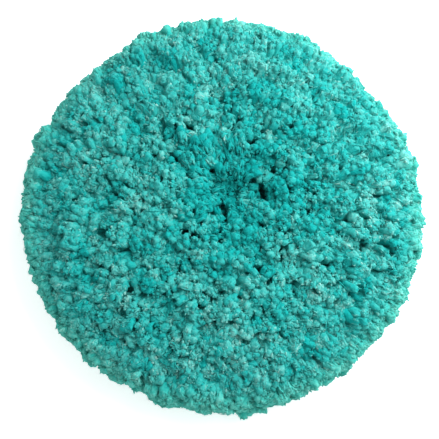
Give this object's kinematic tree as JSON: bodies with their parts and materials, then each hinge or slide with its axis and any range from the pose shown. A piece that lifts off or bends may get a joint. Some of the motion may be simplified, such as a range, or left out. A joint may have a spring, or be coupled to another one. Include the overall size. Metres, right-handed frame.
{
  "type": "polishing pad",
  "caption": "Round tufted wool polishing pad, thick twisted-yarn pile curling over a sewn backing, with a hook-and-loop back and a centring hole.",
  "frame": {"origin": "centre of the loop face, the flat back that the polisher's backing plate grips", "axes": "+Z along the axis of spin, from the loop face towards the wool; the pad is round about it"},
  "size_m": [0.229, 0.229, 0.038],
  "materials": {
    "wool_yarn": "turquoise twisted wool-blend yarn, matt and slightly fuzzy",
    "canvas": "plain woven tufting canvas, undyed",
    "latex": "dried cream latex, dull",
    "felt": "grey needled stiffening felt",
    "loop_fabric": "off-white brushed nylon loop pile",
    "binding_tape": "turquoise twill binding tape",
    "thread": "off-white polyester sewing thread, slight sheen"
  },
  "bodies": {
    "root": {"tuft_row_01": "wool_yarn", "tuft_row_02": "wool_yarn", "tuft_row_03": "wool_yarn", "tuft_row_04": "wool_yarn", "tuft_row_05": "wool_yarn", "tuft_row_06": "wool_yarn", "tuft_row_07": "wool_yarn", "tuft_row_08": "wool_yarn", "tuft_row_09": "wool_yarn", "tuft_row_10": "wool_yarn", "tuft_row_11": "wool_yarn", "tuft_row_12": "wool_yarn", "tufting_canvas": "canvas", "latex_coat": "latex", "stiffening_felt": "felt", "loop_disc": "loop_fabric", "edge_binding": "binding_tape", "centre_binding": "binding_tape", "edge_seam_bobbin_thread": "thread", "edge_seam_needle_thread": "thread", "centre_seam_bobbin_thread": "thread", "centre_seam_needle_thread": "thread", "loop_disc_outer_seam": "thread", "loop_disc_inner_seam": "thread"}
  },
  "joints": []
}
